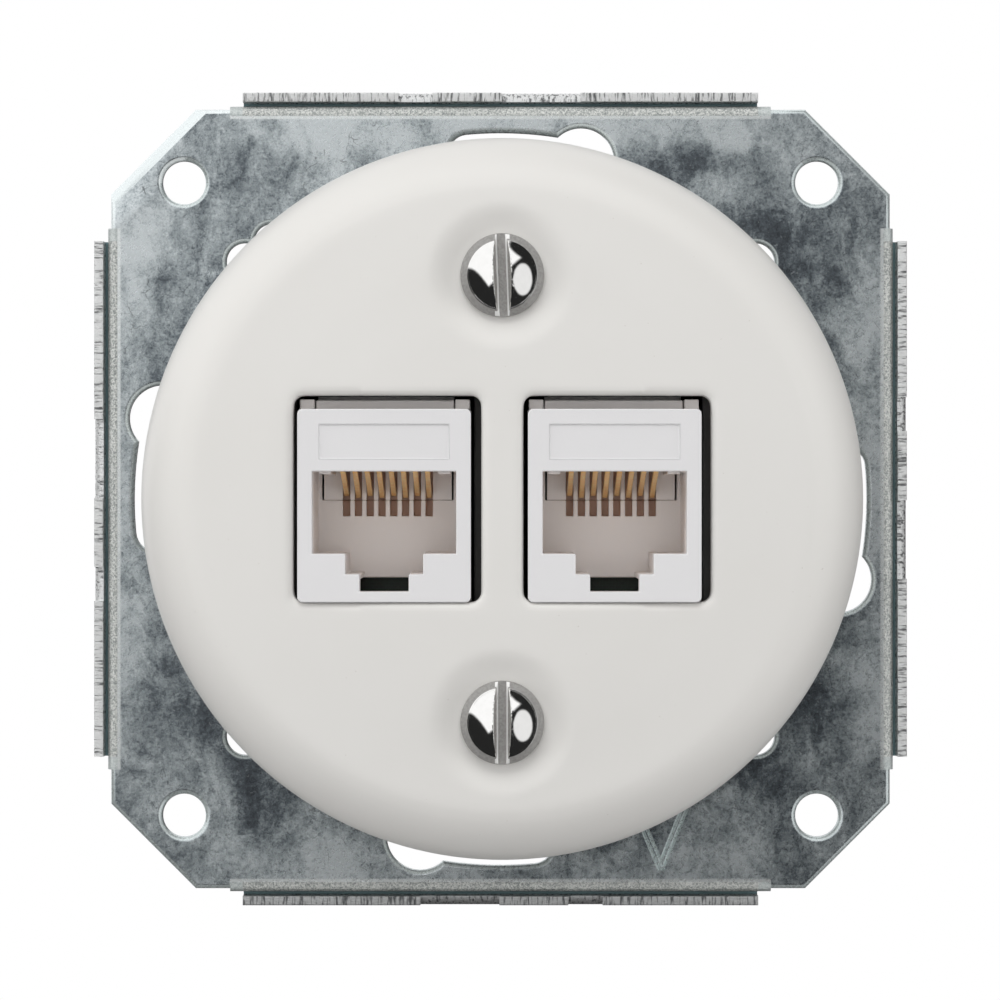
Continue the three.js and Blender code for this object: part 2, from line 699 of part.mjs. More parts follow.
/** A forked blade that bites through a wire's insulation. */
function idcBlade(index) {
  const x = idcX(index);
  const z = index < 4 ? idcRow.high : idcRow.low;
  const shape = outline([
    [x - 1, 0], [x + 1, 0], [x + 1, 5.2], [x + 0.75, 5.6], [x + 0.2, 4.9], [x + 0.2, 1.6],
    [x - 0.2, 1.6], [x - 0.2, 4.9], [x - 0.75, 5.6], [x - 1, 5.2],
  ]);
  const geometry = new THREE.ExtrudeGeometry(shape, { depth: 0.4, bevelEnabled: false });
  geometry.translate(0, idc.front + idc.base + 0.7, z - 0.2);
  return solid(geometry);
}

/** The push-on cap: a rear plate with side skirts and ribs that press the wires home. */
const cap = { half: 7.7, high: 7.9, thick: 1.3, skirt: 0.55, skirtDeep: 4.5, ribDeep: 1.6 };
function wireCap() {
  const heights = [-cap.high, cap.high];
  const outer = idc.rear + 0.3 + cap.thick;
  const plate = block([-cap.half, cap.half], [idc.rear + 0.3, outer], heights);
  const skirts = [-1, 1].map((side) => {
    const [near, far] = [side * (cap.half - cap.skirt), side * cap.half];
    return block([Math.min(near, far), Math.max(near, far)], [idc.rear - cap.skirtDeep, outer], heights);
  });
  const ribs = [];
  for (let i = 0; i < 4; i += 1) {
    const across = [idcX(i) - 0.4, idcX(i) + 0.4];
    for (const z of [idcRow.low, idcRow.high]) {
      for (const side of [-1, 1]) {
        const middle = z + side * 1.3;
        ribs.push(block(across, [idc.rear - cap.ribDeep, idc.rear + 0.4], [middle - 0.5, middle + 0.5]));
      }
    }
  }
  const window = block([-4.5, 4.5], [idc.rear, idc.rear + 3], [-0.9, 0.9]);
  return cut(join(plate, ...skirts, ...ribs), window);
}

["left", "right"].forEach((side, which) => {
  const group = new THREE.Group();
  group.position.set(jackCentres[which], coverFace, jack.shiftZ);
  outlet.add(group);
  piece(side + "_jack_housing", jackHousing(), whitePlastic, group);
  piece(side + "_jack_latch", jackLatch(), whitePlastic, group);
  piece(side + "_contact_carrier", contactCarrier(), whitePlastic, group);
  const boardDepth = [board.front, board.front + board.thick];
  const boardMade = block([-board.half, board.half], boardDepth, [board.low, board.high]);
  piece(side + "_circuit_board", boardMade, boardGreen, group);
  piece(side + "_idc_block", idcBlock(), whitePlastic, group);
  piece(side + "_wire_cap", wireCap(), whitePlastic, group);
  for (let i = 0; i < contacts.count; i += 1) {
    piece(side + "_contact_" + (i + 1), contactWire(i), gold, group);
    piece(side + "_idc_blade_" + (i + 1), idcBlade(i), nickel, group);
  }
});

export default outlet;
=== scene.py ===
import json
import math

import bmesh
import bpy
from mathutils import Matrix, Vector


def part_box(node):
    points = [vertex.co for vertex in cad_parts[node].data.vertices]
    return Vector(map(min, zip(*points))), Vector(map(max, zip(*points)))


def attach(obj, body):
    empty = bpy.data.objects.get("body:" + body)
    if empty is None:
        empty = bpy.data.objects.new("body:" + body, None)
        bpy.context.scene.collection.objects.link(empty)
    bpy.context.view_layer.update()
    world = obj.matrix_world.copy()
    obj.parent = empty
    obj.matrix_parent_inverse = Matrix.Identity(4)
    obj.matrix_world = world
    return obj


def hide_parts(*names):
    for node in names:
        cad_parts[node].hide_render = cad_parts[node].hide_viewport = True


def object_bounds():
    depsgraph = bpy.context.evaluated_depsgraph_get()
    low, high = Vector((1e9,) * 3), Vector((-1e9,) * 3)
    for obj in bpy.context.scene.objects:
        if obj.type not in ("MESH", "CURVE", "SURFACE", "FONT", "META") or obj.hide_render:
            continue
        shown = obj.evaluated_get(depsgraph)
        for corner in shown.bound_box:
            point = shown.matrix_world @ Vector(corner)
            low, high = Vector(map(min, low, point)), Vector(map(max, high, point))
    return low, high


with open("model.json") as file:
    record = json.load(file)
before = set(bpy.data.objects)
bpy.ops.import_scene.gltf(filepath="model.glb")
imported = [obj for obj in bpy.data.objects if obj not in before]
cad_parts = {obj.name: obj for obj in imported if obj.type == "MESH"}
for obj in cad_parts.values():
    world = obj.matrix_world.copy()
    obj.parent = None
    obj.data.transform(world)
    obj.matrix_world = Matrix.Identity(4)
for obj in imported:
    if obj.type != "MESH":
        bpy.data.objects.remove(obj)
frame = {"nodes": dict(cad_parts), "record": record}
cad_low, cad_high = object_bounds()

mm = 0.001
plate_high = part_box("mounting_frame")[1]
cover_low, cover_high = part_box("porcelain_cover")
sheet = 0.8 * mm
stand_off = plate_high.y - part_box("carrier_rivet_1")[0].y - 0.73 * mm
plate_front = plate_high.y - stand_off

# ---- The set ------------------------------------------------------------------------------
# A long lens looks straight at the middle of the frame. A wide soft light hangs above, a
# smaller one stands at each side, and a pale floor lies well below the outlet.

lens_to_plate = 367.5 * mm
view_width = 86.10 * mm  # across the picture, at the front of the plate
sensor = 36.0
camera_data = bpy.data.cameras.new("long_lens")
camera_data.sensor_width = sensor
camera_data.lens = sensor * lens_to_plate / view_width
camera_data.clip_start = 0.02
camera_data.clip_end = 20
camera = bpy.data.objects.new("long_lens", camera_data)
camera.location = (-0.04 * mm, plate_front - lens_to_plate, -0.09 * mm)
camera.rotation_euler = (math.radians(90), 0, 0)
bpy.context.scene.collection.objects.link(camera)
bpy.context.scene.camera = camera
bpy.context.scene.view_settings.view_transform = "Standard"


def softbox(name, direction, distance, size, watts, colour=(1, 1, 1)):
    """A rectangular light that faces the outlet from a direction."""
    data = bpy.data.lights.new(name, "AREA")
    data.shape = "RECTANGLE"
    data.size, data.size_y = size
    data.energy = watts
    data.color = colour
    light = bpy.data.objects.new(name, data)
    towards = Vector(direction).normalized()
    light.location = towards * distance
    light.rotation_euler = towards.to_track_quat("Z", "Y").to_euler()
    light.visible_glossy = False
    bpy.context.scene.collection.objects.link(light)


softbox("key_softbox", (-0.15, -0.56, 0.81), 0.9, (0.9, 0.6), 4.4)
softbox("left_softbox", (-0.95, -0.28, 0.05), 0.8, (0.4, 0.6), 1.85)
softbox("right_softbox", (0.96, -0.24, 0.0), 0.8, (0.4, 0.6), 1.85)


class Value:
    """One socket, so that shader maths reads as arithmetic."""

    def __init__(self, nodes, socket):
        self.nodes = nodes
        self.socket = socket

    def maths(self, operation, *values):
        return self.nodes.node("Math", {"operation": operation}, *values)

    def __add__(self, other):
        return self.maths("ADD", self, other)

    def __sub__(self, other):
        return self.maths("SUBTRACT", self, other)

    def __rsub__(self, other):
        return self.maths("SUBTRACT", other, self)

    def __mul__(self, other):
        return self.maths("MULTIPLY", self, other)

    def __abs__(self):
        return self.maths("ABSOLUTE", self)

    __radd__ = __add__
    __rmul__ = __mul__

    def larger(self, other):
        return self.maths("MAXIMUM", self, other)

    def ramp(self, low, high):
        """0 at low, 1 at high and smooth between; low may be the larger one."""
        settings = {"interpolation_type": "SMOOTHSTEP"}
        ends = {"From Min": low, "From Max": high}
        if low > high:
            ends = {"From Min": high, "From Max": low, "To Min": 1.0, "To Max": 0.0}
        return self.nodes.node("MapRange", settings, self, **ends)


class Nodes:
    """A node tree whose nodes are added by one call each."""

    def __init__(self, tree):
        self.tree = tree
        self.tree.nodes.clear()

    def node(self, kind, settings, *values, take=None, **named):
        """Adds a node: first its settings, then what its sockets hold, in order or by name."""
        node = self.tree.nodes.new("ShaderNode" + kind)
        for key, value in settings.items():
            if key == "stops":
                self.fill_ramp(node.color_ramp, value)
            else:
                setattr(node, key, value)
        open_sockets = [s for s in node.inputs if s.enabled]
        pairs = list(zip(open_sockets, values))
        pairs += [(next(s for s in open_sockets if s.name == key), v) for key, v in named.items()]
        for socket, value in pairs:
            self.feed(socket, value)
        outputs = [s for s in node.outputs if s.enabled]
        if take == "each":
            return [Value(self, socket) for socket in outputs]
        if outputs:
            return Value(self, next(s for s in outputs if take is None or s.name == take))

    def feed(self, socket, value):
        if isinstance(value, Value):
            self.tree.links.new(value.socket, socket)
        else:
            socket.default_value = (*value, 1) if socket.type == "RGBA" and len(value) == 3 else value

    def fill_ramp(self, ramp, stops):
        while len(ramp.elements) < len(stops):
            ramp.elements.new(1.0)
        for element, (place, colour) in zip(ramp.elements, stops):
            element.position = place
            element.color = (*colour, 1)

    def noise(self, where, scale, detail=3.0, roughness=0.5, distortion=0.0):
        """Noise about 0.5, with scale in waves per millimetre."""
        settings = {"noise_dimensions": "3D"}
        values = {"Scale": scale, "Detail": detail, "Roughness": roughness, "Distortion": distortion}
        return self.node("TexNoise", settings, Vector=where, **values)

    def blend(self, share, first, second, mode="MIX"):
        """Two colours mixed by a share."""
        settings = {"data_type": "RGBA", "blend_type": mode}
        return self.node("Mix", settings, Factor=share, A=first, B=second)


class Finish(Nodes):
    """A material of one principled shader."""

    def __init__(self, name):
        self.material = bpy.data.materials.new(name)
        self.material.use_nodes = True
        super().__init__(self.material.node_tree)
        self.shader = self.tree.nodes.new("ShaderNodeBsdfPrincipled")
        output = self.tree.nodes.new("ShaderNodeOutputMaterial")
        self.tree.links.new(self.shader.outputs[0], output.inputs["Surface"])

    def places(self, scale=(1, 1, 1), turn=(0, 0, 0)):
        """Places on the object in millimetres, stretched or turned for a pattern."""
        here = self.node("TexCoord", {}, take="Object")
        return self.node("Mapping", {}, here, Scale=[s / mm for s in scale], Rotation=turn)

    def axes(self, where):
        """The x, y and z of a place."""
        return self.node("SeparateXYZ", {}, where, take="each")

    def bump(self, height, depth, strength=1.0):
        """A surface whose height runs from 0 to 1 over a depth in millimetres."""
        self.surface(Normal=self.node("Bump", {}, Strength=strength, Distance=depth * mm, Height=height))

    def surface(self, **values):
        for key, value in values.items():
            self.feed(self.shader.inputs[key.replace("_", " ")], value)


def studio():
    """White behind the outlet, even soft light around it, and cards for the metal to reflect."""
    world = bpy.data.worlds.new("studio")
    world.use_nodes = True
    bpy.context.scene.world = world
    world.cycles.sampling_method = "NONE"
    sky = Nodes(world.node_tree)
    direction = sky.node("TexCoord", {}, take="Generated")
    x, y, z = sky.node("SeparateXYZ", {}, direction, take="each")
    card = (z + x * 1.63).ramp(-1.40, -1.26) * (z - x * 0.895).ramp(-0.02, 0.14)
    card = card * (x + z * 1.4).ramp(1.62, 1.52)
    halfway = sky.node("VectorMath", {"operation": "ADD"}, direction, (0, -1, 0))
    slant = sky.node("VectorMath", {"operation": "NORMALIZE"}, halfway)
    across, _, up = sky.node("SeparateXYZ", {}, slant, take="each")
    across = (across - 0.44) * (1 / 0.205)
    up = (up + 0.075) * (1 / 0.345)
    window = (across * across + up * up).ramp(1.12, 0.80)
    ray = sky.node("LightPath", {}, take="each")
    is_camera, _, _, is_glossy = ray[:4]
    reflected = card * 1.05 + window * 0.85 + 0.02
    ahead = (y * -1.0).ramp(0.86, 0.975)
    even = sky.node("Background", {}, (1.0, 0.992, 0.985), ahead * 1.47 + 0.26)
    cards = sky.node("Background", {}, (1, 1, 1), reflected)
    behind = sky.node("Background", {}, (1, 1, 1))
    lit = sky.node("MixShader", {}, is_glossy, even, cards)
    sky.node("OutputWorld", {}, sky.node("MixShader", {}, is_camera, lit, behind))


studio()


def pale_floor():
    finish = Finish("pale_floor")
    grain = finish.noise(finish.places(), 0.02, 2.0)
    finish.surface(Base_Color=finish.blend(grain, (0.71, 0.71, 0.71), (0.75, 0.75, 0.75)), Roughness=0.8)
    return finish.material


floor_drop = 500 * mm
floor_mesh = bmesh.new()
bmesh.ops.create_grid(floor_mesh, x_segments=4, y_segments=4, size=2.0)
bmesh.ops.translate(floor_mesh, verts=floor_mesh.verts, vec=(0, 0, cad_low.z - floor_drop))
floor_data = bpy.data.meshes.new("floor")
floor_mesh.to_mesh(floor_data)
floor_mesh.free()
floor = bpy.data.objects.new("floor", floor_data)
floor_data.materials.append(pale_floor())
floor.visible_glossy = False
bpy.context.scene.collection.objects.link(floor)

# ---- Mounting frame -------------------------------------------------------------------------
# Stamped from 0.8 mm steel sheet. Each side is folded back on itself as a hem that stiffens
# the plate and links it to the next outlet, then the whole frame is zinc plated and passivated.

corner_cut = 7.3 * mm
hem_half = 22.2 * mm
hem_gap = 0.35 * mm
hem_bend = 0.87 * mm
bend_half = 23.3 * mm
half_plate = plate_high.x - 1.45 * mm
bend_from = plate_high.x - sheet - hem_gap - hem_bend
slot_circle, slot_half, keyhole = 29.93 * mm, 1.62 * mm, 2.85 * mm
slot_ends = (-5.4, 13.4)
roll = 0.45 * mm


def piece_of(bm, name, finish, body, nodes=(), flat_over=40):
    """A finished piece from a bmesh, riding on a body in place of its plain nodes."""
    mesh = bpy.data.meshes.new(name)
    bm.to_mesh(mesh)
    bm.free()
    made = bpy.data.objects.new(name, mesh)
    bpy.context.scene.collection.objects.link(made)
    mesh.shade_smooth()
    mesh.set_sharp_from_angle(angle=math.radians(flat_over))
    mesh.materials.clear()
    mesh.materials.append(finish)
    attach(made, body)
    if nodes:
        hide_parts(*nodes)
    return made


def solid_of(points, extrude, place=None):
    """A bmesh prism: an outline in three dimensions, run along a vector."""
    bm = bmesh.new()
    face = bm.faces.new([bm.verts.new(p) for p in points])
    grown = bmesh.ops.extrude_face_region(bm, geom=[face])["geom"]
    moved = [v for v in grown if isinstance(v, bmesh.types.BMVert)]
    bmesh.ops.translate(bm, verts=moved, vec=extrude)
    bmesh.ops.recalc_face_normals(bm, faces=bm.faces)
    if place is not None:
        bmesh.ops.transform(bm, matrix=place, verts=bm.verts)
    return bm


def pin_of(radius, front, rear, x=0.0, z=0.0, segments=64):
    """A bmesh cylinder along the outlet's depth."""
    bm = bmesh.new()
    place = Matrix.Translation((x, (front + rear) / 2, z)) @ Matrix.Rotation(math.radians(90), 4, "X")
    values = {"radius1": radius, "radius2": radius, "depth": rear - front}
    bmesh.ops.create_cone(bm, cap_ends=True, segments=segments, matrix=place, **values)
    return bm


def joined(parts):
    """Several bmeshes in one."""
    total = bmesh.new()
    for part in parts:
        mesh = bpy.data.meshes.new("part")
        part.to_mesh(mesh)
        part.free()
        total.from_mesh(mesh)
        bpy.data.meshes.remove(mesh)
    return total


def lofted(outline, levels):
    """A bmesh solid through one outline at several depths, given as (growth, depth) pairs."""
    bm = bmesh.new()
    rings = [[bm.verts.new((x, y, z)) for x, z in outline(grow)] for grow, y in levels]
    for near, far in zip(rings, rings[1:]):
        for i in range(len(near)):
            bm.faces.new((near[i - 1], near[i], far[i], far[i - 1]))
    bm.faces.new(rings[0])
    bm.faces.new(list(reversed(rings[-1])))
    bmesh.ops.recalc_face_normals(bm, faces=bm.faces)
    return bm


def carved(bm, *operations):
    """A bmesh after booleans with other bmeshes, given as (operation, bmesh) pairs."""
    shapes = []
    for shape in (bm, *(other for _, other in operations)):
        mesh = bpy.data.meshes.new("shape")
        shape.to_mesh(mesh)
        shape.free()
        shapes.append(bpy.data.objects.new("shape", mesh))
        bpy.context.scene.collection.objects.link(shapes[-1])
    body = shapes[0]
    for (operation, _), other in zip(operations, shapes[1:]):
        step = body.modifiers.new("step", "BOOLEAN")
        step.operation = operation
        step.solver = "EXACT"
        step.object = other
    bpy.context.view_layer.update()
    result = bmesh.new()
    result.from_mesh(body.evaluated_get(bpy.context.evaluated_depsgraph_get()).to_mesh())
    for shape in shapes:
        mesh = shape.data
        bpy.data.objects.remove(shape)
        bpy.data.meshes.remove(mesh)
    return result


def rounded(bm, edges, radius, segments=3):
    """Rounds chosen edges of a bmesh."""
    bmesh.ops.bevel(
        bm,
        geom=list(edges),
        offset=radius,
        offset_type="OFFSET",
        affect="EDGES",
        segments=segments,
        profile=0.5,
        material=-1,
        clamp_overlap=False,
    )


def sharp_edges(bm, degrees=32):
    """The edges of a bmesh whose faces meet at more than an angle."""
    return [e for e in bm.edges if e.is_manifold and e.calc_face_angle(0) > math.radians(degrees)]


def arc(centre, radius, start, end, steps):
    """Points of an arc in a plane, as pairs, from one angle in degrees to another."""
    for i in range(steps + 1):
        angle = math.radians(start + (end - start) * i / steps)
        yield centre[0] + radius * math.cos(angle), centre[1] + radius * math.sin(angle)


def bend_section(depth):
    """The bend from the plate into the inner leg, in x and y, down to a depth on its outside."""
    yield from arc((bend_from, plate_front + hem_bend), hem_bend, -90, 0, 10)
    yield bend_from + hem_bend, depth


def bend_back(depth):
    """The inside of the bend, from a depth back to the plate."""
    inside = bend_from + hem_bend - sheet
    yield inside, depth
    yield inside, plate_front + sheet + 0.07 * mm
    yield inside - 0.03 * mm, plate_front + sheet
    yield bend_from, plate_front + sheet


def hem_section():
    """The whole fold in x and y: bend, outside of the inner leg, fold, outer leg and back."""
    outer = plate_high.x
    fold = sheet + hem_gap / 2
    fold_x, fold_y = outer - fold, plate_high.y - fold
    gap_floor = plate_front + hem_bend + 0.5 * mm
    edge, round_edge = plate_front + 0.05 * mm, 0.12 * mm
    yield from bend_section(gap_floor)
    yield from arc((fold_x, gap_floor), hem_gap / 2, 180, 0, 8)
    yield from arc((outer - sheet + round_edge, edge + round_edge), round_edge, 180, 270, 3)
    yield from arc((outer - round_edge, edge + round_edge), round_edge, 270, 360, 3)
    yield from arc((fold_x, fold_y), fold, 0, 180, 14)
    yield from bend_back(fold_y)


def quarter(turns):
    """A quarter turn or more about the outlet's axis."""
    return Matrix.Rotation(math.radians(90) * turns, 4, "Y")


def side_bar(section, low, high, turns):
    """A section run along one side of the plate."""
    points = [(x, y, low) for x, y in section]
    return solid_of(points, (0, 0, high - low), quarter(turns))


def coined_edges(turns):
    """Wedges that press two stretches of a hem's edge down and round."""
    outer = plate_high.x
    inner, clear = outer - sheet - 0.1 * mm, outer + 1 * mm
    top, bulge = plate_front - 1 * mm, 0.75 * mm
    for start, end in ((-8.8 * mm, -5.85 * mm), (0.1 * mm, 6.9 * mm)):
        slope = [(inner, top), (clear, top), (clear, top + 2.9 * mm)]
        slope += list(arc((outer - bulge, plate_front + 1.15 * mm), bulge, 0, -90, 6))
        slope += [(inner, plate_front + 0.4 * mm)]
        points = [(x, y, -end) for x, y in slope]
        yield solid_of(points, (0, 0, end - start), quarter(turns))


def rolled_edge(sign):
    """Depths down a sheared edge that the die has rolled over, with how far it stands back."""
    for i in range(6):
        angle = math.radians(18 * i)
        yield sign * roll * (1 - math.cos(angle)), plate_front + roll * (1 - math.sin(angle))


def punch(outline):
    """A cutter that leaves a rolled edge round its hole at the front."""
    return lofted(outline, [(0, plate_front + 3 * mm), *rolled_edge(1), (roll, plate_front - 1 * mm)])


def round_punch(x, z, radius):
    def outline(grow):
        return list(arc((x * mm, z * mm), radius + grow, 0, 360, 64))[:-1]

    return punch(outline)


def slot_centre(degrees, turns):
    """A place on the box-screw circle, by its angle clockwise from a side's middle."""
    angle = math.radians(90 - degrees - 90 * turns)
    return slot_circle * math.cos(angle), slot_circle * math.sin(angle)


def slot_punch(turns):
    """The long stretch of a box-screw slot, with round ends."""
    start, end = (90 - degrees - 90 * turns for degrees in slot_ends)

    def outline(grow):
        half = slot_half + grow
        points = list(arc((0, 0), slot_circle + half, start, end, 24))
        points += list(arc(slot_centre(slot_ends[1], turns), half, end, end - 180, 16))[1:-1]
        points += list(arc((0, 0), slot_circle - half, end, start, 24))
        points += list(arc(slot_centre(slot_ends[0], turns), half, start - 180, start - 360, 16))[1:-1]
        return points

    return punch(outline)


def keyhole_punch(turns):
    """The keyhole that a box screw's head passes."""
    x, z = slot_centre(slot_ends[1], turns)
    return round_punch(x / mm, z / mm, keyhole)


def arrow_groove(start, end):
    """A chisel mark in the plate's front, with a raised ridge along its floor."""
    a, b = (Vector((x * mm, plate_front, z * mm)) for x, z in (start, end))
    along = (b - a).normalized()
    side = along.cross(Vector((0, 1, 0))) * 0.36 * mm
    section = [(-1, 0), (-1, -0.3), (1, -0.3), (1, 0)]
    section += [(0.6, 0.24), (0.12, 0.10), (-0.12, 0.10), (-0.6, 0.24)]
    points = [a + side * across + Vector((0, deep * mm, 0)) for across, deep in section]
    return solid_of(points, b - a + along * 0.2 * mm)


def rolled_corner():
    """A wedge off the upper left clipped corner, where the die has rolled the edge over."""
    middle = half_plate - corner_cut / 2
    wide, deep, reach = 0.9 * mm, 0.45 * mm, 0.3 * mm
    section = [(-wide, 0), (reach, deep * (wide + reach) / wide), (reach, -reach), (-wide, -reach)]
    root = math.sqrt(2)
    points = [(-middle - n / root, plate_front + y, middle + n / root) for n, y in section]
    run = corner_cut / root + 0.6 * mm
    wedge = solid_of(points, (root * run, 0, root * run))
    bmesh.ops.translate(wedge, verts=wedge.verts, vec=(-run / root, 0, -run / root))
    return wedge


def plate_outline(grow):
    """The plate's outline: clipped corners, and sides set in where the bends start."""
    half = half_plate + grow
    corner = 2 * half_plate - corner_cut + math.sqrt(2) * grow - half
    side = [(half, -corner), (half, -bend_half), (bend_from, -bend_half)]
    side += [(x, -z) for x, z in reversed(side)]
    for turns in (0, -1, -2, -3):
        for x, z in side:
            place = quarter(turns) @ Vector((x, 0, z))
            yield place.x, place.z


def steel_frame():
    plate = lofted(plate_outline, [(0, plate_front + sheet), *rolled_edge(-1)])
    first = [pin_of(24 * mm, plate_front - 2 * mm, plate_front + 3 * mm, segments=128)]
    first += [slot_punch(turns) for turns in range(4)]
    for sx in (1, -1):
        for sz in (1, -1):
            first.append(round_punch(sx * 27.25, sz * 27.25, 1.85 * mm))
            first.append(round_punch(sx * 22.0, sz * 20.45, 1.6 * mm))
    second = [keyhole_punch(turns) for turns in range(4)]
    second.append(round_punch(-19.7, 22.2, 1.5 * mm))
    marks = [arrow_groove((12.4, -28.4), (13.8, -31.7)), arrow_groove((15.9, -26.5), (13.8, -31.7))]
    steps = [("DIFFERENCE", joined(first)), *(("DIFFERENCE", cutter) for cutter in second)]
    steps += [("DIFFERENCE", mark) for mark in (*marks, rolled_corner())]
    leg_end = plate_front + 2 * sheet
    stub = [*bend_section(leg_end), *bend_back(leg_end)]
    parts = [carved(plate, *steps)]
    for turns in range(4):
        bar = side_bar(hem_section(), -hem_half, hem_half, turns)
        parts.append(carved(bar, *(("DIFFERENCE", wedge) for wedge in coined_edges(turns))))
        parts.append(side_bar(stub, hem_half, bend_half, turns))
        parts.append(side_bar(stub, -bend_half, -hem_half, turns))
    return joined(parts)


def even_shading(made):
    """Shades flat faces flat right up to their rounded edges."""
    weighted = made.modifiers.new("even_shading", "WEIGHTED_NORMAL")
    weighted.keep_sharp = True
    weighted.weight = 90


def zinc_plate():
    """Blue-grey passivated zinc: cloudy, finely speckled, with short hair cracks and flecks."""
    finish = Finish("passivated_zinc")
    here = finish.places()
    x, y, z = finish.axes(here)
    across, along = abs(x), abs(z)
    reach = across.larger(along)
    middle = (across + along - reach).ramp(23.5, 20.5)
    clouds = finish.noise(here, 0.11, 3.0, 0.5, 0.6)
    drift = finish.noise(finish.places((1.3, 1, 0.8)), 0.30, 5.0, 0.66, 0.9)
    mottle = finish.noise(here, 2.2, 6.0, 0.8, 0.6)
    speckle = finish.noise(here, 6.0, 3.0, 0.8)
    tone = clouds * 0.31 + drift * 0.28 + mottle * 0.25 + speckle * 0.16
    # painted light: the outer strips are painted lighter along the middle of each side, a little more at
    # the top, and the plate lighter towards its upper corners, most towards the upper left
    painted_side_light = reach.ramp(28.5, 31.5) * middle * (z.ramp(20, 30) * 0.015 + 0.062)
    corner = (across + along - reach).ramp(19, 25) * (z - x * 0.4).ramp(0, 40) * 0.045
    tone = (tone + painted_side_light + corner).ramp(0.38, 0.62)
    stops = [
        (0.0, (0.070, 0.080, 0.092)),
        (0.3, (0.150, 0.175, 0.195)),
        (0.55, (0.30, 0.338, 0.358)),
        (0.8, (0.48, 0.53, 0.55)),
        (1.0, (0.70, 0.75, 0.77)),
    ]
    colour = finish.node("ValToRGB", {"stops": stops}, tone)
    warp = finish.noise(here, 0.9, 3.0)
    bent = finish.node("VectorMath", {"operation": "ADD"}, here, warp)
    settings = {"feature": "DISTANCE_TO_EDGE"}
    cells = finish.node("TexVoronoi", settings, Vector=bent, Scale=0.55, Randomness=1.0)
    short = finish.noise(here, 0.9, 2.0).ramp(0.52, 0.60)
    short = short * finish.noise(here, 0.13, 2.0).ramp(0.46, 0.56)
    cracks = cells.ramp(0.022, 0.0) * short
    colour = finish.blend(cracks * 0.7, colour, (0.03, 0.032, 0.04))
    flecks = finish.noise(here, 4.5, 1.0, 0.4).ramp(0.69, 0.76)
    colour = finish.blend(flecks * 0.35, colour, (0.60, 0.64, 0.65))
    # the rolled edges are smooth, and painted pale as a painted reflection, palest along the clipped
    # corner at the upper left
    facing = finish.node("TexCoord", {}, take="Normal")
    rolled = abs(finish.axes(facing)[1]).ramp(0.994, 0.94) * reach.ramp(33.62, 33.58)
    rolled = rolled * abs(finish.axes(facing)[1]).ramp(0.05, 0.2)
    colour = finish.blend(rolled * 0.85, colour, (0.70, 0.77, 0.77))
    # painted glare: along the clipped corner at the upper left and beside it the rolled edge is painted
    # near white
    clipped = (z - x).ramp(56.2, 56.6)
    beside_clip = (z - x).ramp(53.0, 54.0) * reach.ramp(31.2, 31.4)
    bright = rolled * clipped.larger(beside_clip)
    colour = finish.blend(bright, colour, (0.84, 0.90, 0.91))
    # the bend is crazed to a pale grain, and the sheared edge of the hem is drawn across
    pale = finish.noise(here, 6.5, 3.0, 0.7).ramp(0.36, 0.62)
    crazed = finish.blend(pale, (0.22, 0.24, 0.235), (0.76, 0.77, 0.74))
    along_side = across + along - reach
    beside = along_side.ramp(23.32, 23.28)
    crazed = finish.blend(along_side.ramp(22.15, 22.25) * 0.6, crazed, (0.60, 0.66, 0.66))
    bend = reach.ramp(32.95, 33.02) * beside
    # painted highlight: a pale line painted on the plate just before each bend starts
    painted_glint = reach.ramp(32.62, 32.80) * beside * (1 - bend)
    colour = finish.blend(painted_glint * 0.85, colour, (0.90, 0.94, 0.94))
    colour = finish.blend(bend * 0.9, colour, crazed)
    upright = (along - across).ramp(-0.1, 0.1)
    drawn = finish.noise(finish.places((0.12, 1, 1)), 5.0, 3.0, 0.6) * (1 - upright)
    drawn = drawn + finish.noise(finish.places((1, 1, 0.12)), 5.0, 3.0, 0.6) * upright
    # painted light: the sheared edge of the left hem is painted a little lighter
    strokes = (drawn + x.ramp(-30, -33) * 0.03).ramp(0.34, 0.53)
    sheared = reach.ramp(34.12, 34.16)
    edge = finish.blend(strokes, (0.16, 0.165, 0.17), (0.96, 0.97, 0.97))
    # painted shade: the sheared edge of the bottom hem is painted darker, and that of the top hem a
    # little darker
    shade = z.ramp(-30, -33) * 0.45 + z.ramp(30, 33) * 0.14
    colour = finish.blend(sheared, colour, finish.blend(shade, edge, (0.10, 0.105, 0.11)))
    gap = reach.ramp(33.84, 33.88) * (1 - sheared)
    colour = finish.blend(gap, colour, (0.20, 0.30, 0.32))
    finish.surface(
        Base_Color=colour,
        Metallic=0.85 - bend * 0.45 + sheared * 0.35 - rolled * 0.3 - bright * 0.3,
        Roughness=mottle * 0.20 + 0.18 + cracks * 0.2 + bend * 0.20 - sheared * 0.1,
    )
    grain = mottle * 0.35 + speckle * 0.3
    finish.bump(grain * (1 - bend) * (1 - rolled * 0.8) + pale * bend * 0.7 + strokes * sheared, 0.022)
    return finish.material


zinc = zinc_plate()
mounting_frame = piece_of(steel_frame(), "steel_mounting_frame", zinc, "base", ["mounting_frame"], 28)
even_shading(mounting_frame)

# ---- Jack carrier, its rivets and inserts -----------------------------------------------------
# One black moulding holds both jacks and stands in the frame's middle cut-out. Four steel
# rivets hold it to the frame, and two brass bushes in its posts take the cover's screws.


def softened(node, name, finish, radius, segments=2, degrees=32):
    """A node's own shape with its corners rounded as they leave the mould or the press."""
    bm = bmesh.new()
    bm.from_mesh(frame["nodes"][node].data)
    bmesh.ops.remove_doubles(bm, verts=bm.verts, dist=1e-7)
    bmesh.ops.dissolve_limit(bm, angle_limit=math.radians(0.6), verts=bm.verts, edges=bm.edges)
    rounded(bm, sharp_edges(bm, degrees), radius, segments)
    bodies = frame["record"]["behaviour"]["bodies"]
    body = next(b for b, members in bodies.items() if node in members)
    made = piece_of(bm, name, finish, body, [node], 50)
    even_shading(made)
    return made


